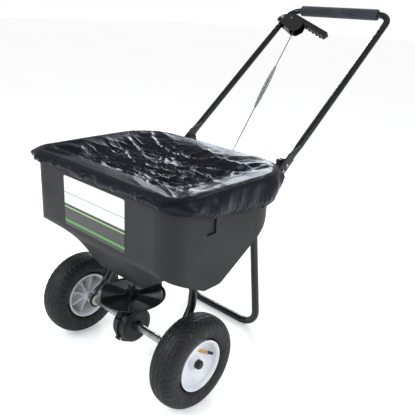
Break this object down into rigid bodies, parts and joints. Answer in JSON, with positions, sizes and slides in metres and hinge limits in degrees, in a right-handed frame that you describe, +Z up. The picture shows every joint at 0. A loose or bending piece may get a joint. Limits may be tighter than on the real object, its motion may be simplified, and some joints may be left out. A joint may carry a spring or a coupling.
{
  "type": "lawn spreader",
  "caption": "Walk-behind broadcast spreader: hopper with cloth rain cover, two pneumatic wheels, geared impeller, tube frame with rear stand, and a handle with a squeeze lever.",
  "frame": {"origin": "on the ground, midway between the wheels, straight below the axle", "axes": "+X to the operator's left, along the axle; +Y to the operator, at the back; +Z up"},
  "size_m": [0.717, 1.3185, 1.22],
  "materials": {
    "black_hopper_plastic": "fine matt",
    "black_gear_case_plastic": "satin",
    "black_small_plastic": "satin",
    "white_nylon": "satin",
    "white_rim_plastic": "satin",
    "black_tyre_rubber": "matt",
    "black_powder_coat": "semi-gloss",
    "zinc_plated_steel": "satin",
    "black_spring_steel": "satin",
    "brass": "satin",
    "slate_foam_rubber": "matt",
    "black_nylon_cloth": "coated, shiny",
    "white_and_green_label_film": "gloss"
  },
  "bodies": {
    "hopper_and_frame": {"hopper": "black_hopper_plastic", "hopper_shaft_bush": "white_nylon", "front_label": "white_and_green_label_film", "gate_guide": "black_gear_case_plastic", "guide_screws": "zinc_plated_steel", "side_rail_left": "black_powder_coat", "side_rail_right": "black_powder_coat", "rear_stand": "black_powder_coat", "leg_plugs": "black_small_plastic", "handle_bracket_left": "black_powder_coat", "handle_bracket_right": "black_powder_coat", "handle_tube": "black_powder_coat", "foam_grip": "slate_foam_rubber", "frame_bolts": "zinc_plated_steel", "handle_bolts": "zinc_plated_steel", "handle_knobs": "black_small_plastic", "hopper_bolts": "zinc_plated_steel", "lever_bracket": "black_small_plastic", "lever_bracket_bolt": "zinc_plated_steel", "lever_pivot_bolt": "zinc_plated_steel", "axle_bushing_left": "white_nylon", "axle_bushing_right": "white_nylon", "axle_spacer_left": "zinc_plated_steel", "axle_spacer_right": "zinc_plated_steel", "gearbox_left_half": "black_gear_case_plastic", "gearbox_right_half": "black_gear_case_plastic", "gearbox_screws": "zinc_plated_steel", "gearbox_axle_bushes": "white_nylon", "pinion_bushing": "white_nylon"},
    "drive_axle": {"axle": "zinc_plated_steel", "ring_gear": "white_nylon", "ring_gear_pin": "zinc_plated_steel", "drive_pin": "zinc_plated_steel", "wheel_spacers": "zinc_plated_steel", "axle_caps": "black_small_plastic", "tyre_left": "black_tyre_rubber", "wheel_rim_left": "white_rim_plastic", "valve_stem_left": "brass", "valve_cap_left": "black_small_plastic"},
    "right_wheel": {"tyre_right": "black_tyre_rubber", "wheel_rim_right": "white_rim_plastic", "valve_stem_right": "brass", "valve_cap_right": "black_small_plastic"},
    "impeller_assembly": {"impeller_shaft": "zinc_plated_steel", "pinion": "white_nylon", "pinion_pin": "zinc_plated_steel", "impeller": "black_gear_case_plastic", "impeller_pin": "zinc_plated_steel", "agitator": "black_gear_case_plastic"},
    "squeeze_lever": {"squeeze_lever": "black_small_plastic"},
    "control_rod": {"rod_upper": "zinc_plated_steel", "rod_spring": "black_spring_steel", "rod_lower": "zinc_plated_steel"},
    "shut_off_gate": {"shut_off_gate": "black_powder_coat"},
    "rain_cover": {"rain_cover": "black_nylon_cloth"}
  },
  "joints": [
    {"name": "axle_spin", "type": "hinge", "parent": "hopper_and_frame", "child": "drive_axle", "pos_m": [0, 0, 0.155], "axis": [1, 0, 0], "continuous": true},
    {"name": "right_wheel_spin", "type": "hinge", "parent": "hopper_and_frame", "child": "right_wheel", "pos_m": [0, 0, 0.155], "axis": [1, 0, 0], "continuous": true},
    {"name": "impeller_spin", "type": "hinge", "parent": "hopper_and_frame", "child": "impeller_assembly", "pos_m": [0, 0, 0.2], "axis": [0, 0, 1], "continuous": true},
    {"name": "lever_squeeze", "type": "hinge", "parent": "hopper_and_frame", "child": "squeeze_lever", "pos_m": [-0.188, 1.07792, 1.1518], "axis": [0, -0.616, 0.7877], "range_deg": [0, 27], "stiffness_Nm_per_rad": 0.5, "springref_deg": -22.92},
    {"name": "rod_swing", "type": "hinge", "parent": "squeeze_lever", "child": "control_rod", "pos_m": [-0.145, 1.04878, 1.129], "axis": [0.0193, 0.6159, -0.7876], "range_deg": [0, 28]},
    {"name": "gate_slide", "type": "slide", "parent": "hopper_and_frame", "child": "shut_off_gate", "axis": [0, 1, 0], "range_m": [0, 0.0245]},
    {"name": "cover_lift", "type": "slide", "parent": "hopper_and_frame", "child": "rain_cover", "axis": [0, 0, 1], "range_m": [0, 0.25]}
  ],
  "couplings": [
    {"joint": "impeller_spin", "follows": "axle_spin", "ratio": -4},
    {"joint": "rod_swing", "follows": "lever_squeeze", "ratio": 1.0222},
    {"joint": "gate_slide", "follows": "lever_squeeze", "m_per_rad": 0.05199}
  ]
}
